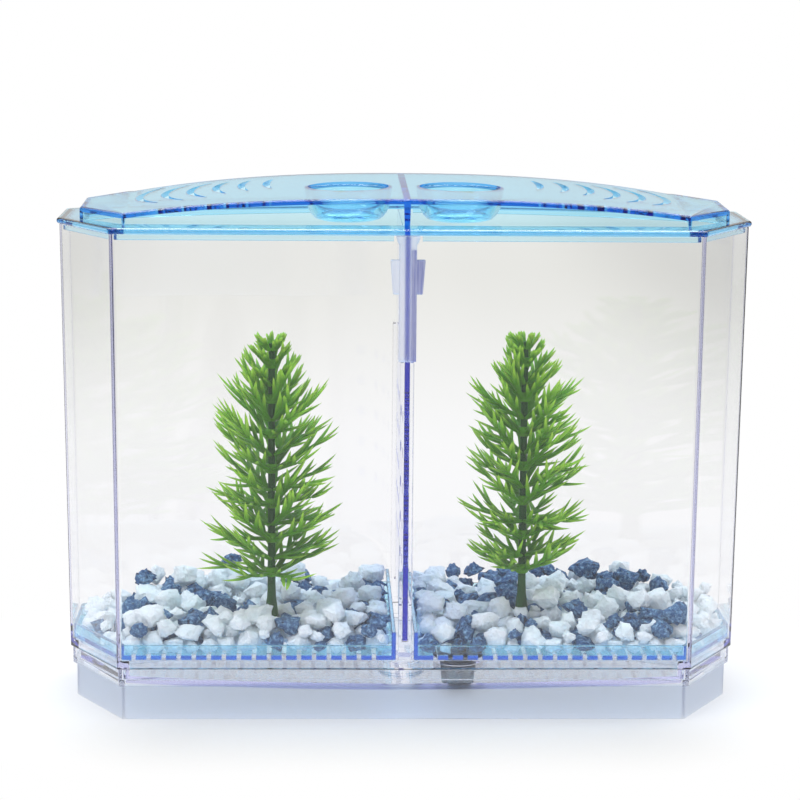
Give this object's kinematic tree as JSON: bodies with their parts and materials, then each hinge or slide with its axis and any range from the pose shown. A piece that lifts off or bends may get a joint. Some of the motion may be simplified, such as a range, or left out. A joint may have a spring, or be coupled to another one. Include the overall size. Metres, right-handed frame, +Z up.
{
  "type": "fish tank",
  "caption": "Small clear fish tank with bowed back on a stand ring, arched vented lid, lift-out divider, slotted gravel trays and plants.",
  "frame": {"origin": "middle of the stand's underside, under the centre of the lid's outline", "axes": "+Z up, +X towards the right end seen from the front, the flat front faces -Y, the bowed back faces +Y"},
  "size_m": [0.25, 0.112, 0.188],
  "materials": {
    "clear_acrylic": "clear, polished, lilac at the edges",
    "blue_acrylic": "transparent blue, polished, deep blue at the edges",
    "black_rubber": "matt rubber",
    "gravel_stone": "white and blue-grey gravel, dry",
    "stem_plastic": "dark green moulded plastic",
    "leaf_plastic": "soft green moulded plastic"
  },
  "bodies": {
    "base": {"base_stand": "clear_acrylic"},
    "tank": {"tank_body": "clear_acrylic"},
    "lid": {"lid": "blue_acrylic"},
    "divider": {"divider": "clear_acrylic"},
    "tray_left": {"tray_left": "blue_acrylic", "gravel_left": "gravel_stone"},
    "tray_right": {"tray_right": "blue_acrylic", "gravel_right": "gravel_stone"},
    "plug": {"drain_plug": "black_rubber"},
    "plant_left": {"plant_left_stem": "stem_plastic", "plant_left_tier_1": "leaf_plastic", "plant_left_tier_2": "leaf_plastic", "plant_left_tier_3": "leaf_plastic", "plant_left_tier_4": "leaf_plastic", "plant_left_tier_5": "leaf_plastic", "plant_left_tier_6": "leaf_plastic", "plant_left_tier_7": "leaf_plastic"},
    "plant_right": {"plant_right_stem": "stem_plastic", "plant_right_tier_1": "leaf_plastic", "plant_right_tier_2": "leaf_plastic", "plant_right_tier_3": "leaf_plastic", "plant_right_tier_4": "leaf_plastic", "plant_right_tier_5": "leaf_plastic", "plant_right_tier_6": "leaf_plastic", "plant_right_tier_7": "leaf_plastic"}
  },
  "joints": [
    {"name": "tank_lift", "type": "slide", "parent": "base", "child": "tank", "axis": [0, 0, 1], "range_m": [0, 0.03]},
    {"name": "lid_lift", "type": "slide", "parent": "tank", "child": "lid", "axis": [0, 0, 1], "range_m": [0, 0.2]},
    {"name": "divider_lift", "type": "slide", "parent": "tank", "child": "divider", "axis": [0, 0, 1], "range_m": [0, 0.155]},
    {"name": "tray_left_lift", "type": "slide", "parent": "tank", "child": "tray_left", "axis": [0, 0, 1], "range_m": [0, 0.165]},
    {"name": "tray_right_lift", "type": "slide", "parent": "tank", "child": "tray_right", "axis": [0, 0, 1], "range_m": [0, 0.165]},
    {"name": "plug_pull", "type": "slide", "parent": "tank", "child": "plug", "axis": [0, 0, 1], "range_m": [0, 0.02]},
    {"name": "plant_left_pull", "type": "slide", "parent": "tray_left", "child": "plant_left", "axis": [0, 0, 1], "range_m": [0, 0.03]},
    {"name": "plant_right_pull", "type": "slide", "parent": "tray_right", "child": "plant_right", "axis": [0, 0, 1], "range_m": [0, 0.03]}
  ],
  "couplings": [
    {"joint": "divider_lift", "follows": "lid_lift", "ratio": 0.775},
    {"joint": "tray_left_lift", "follows": "lid_lift", "ratio": 0.825},
    {"joint": "tray_right_lift", "follows": "lid_lift", "ratio": 0.825},
    {"joint": "plug_pull", "follows": "lid_lift", "ratio": 0.1},
    {"joint": "plant_left_pull", "follows": "lid_lift", "ratio": 0.15},
    {"joint": "plant_right_pull", "follows": "lid_lift", "ratio": 0.15}
  ]
}
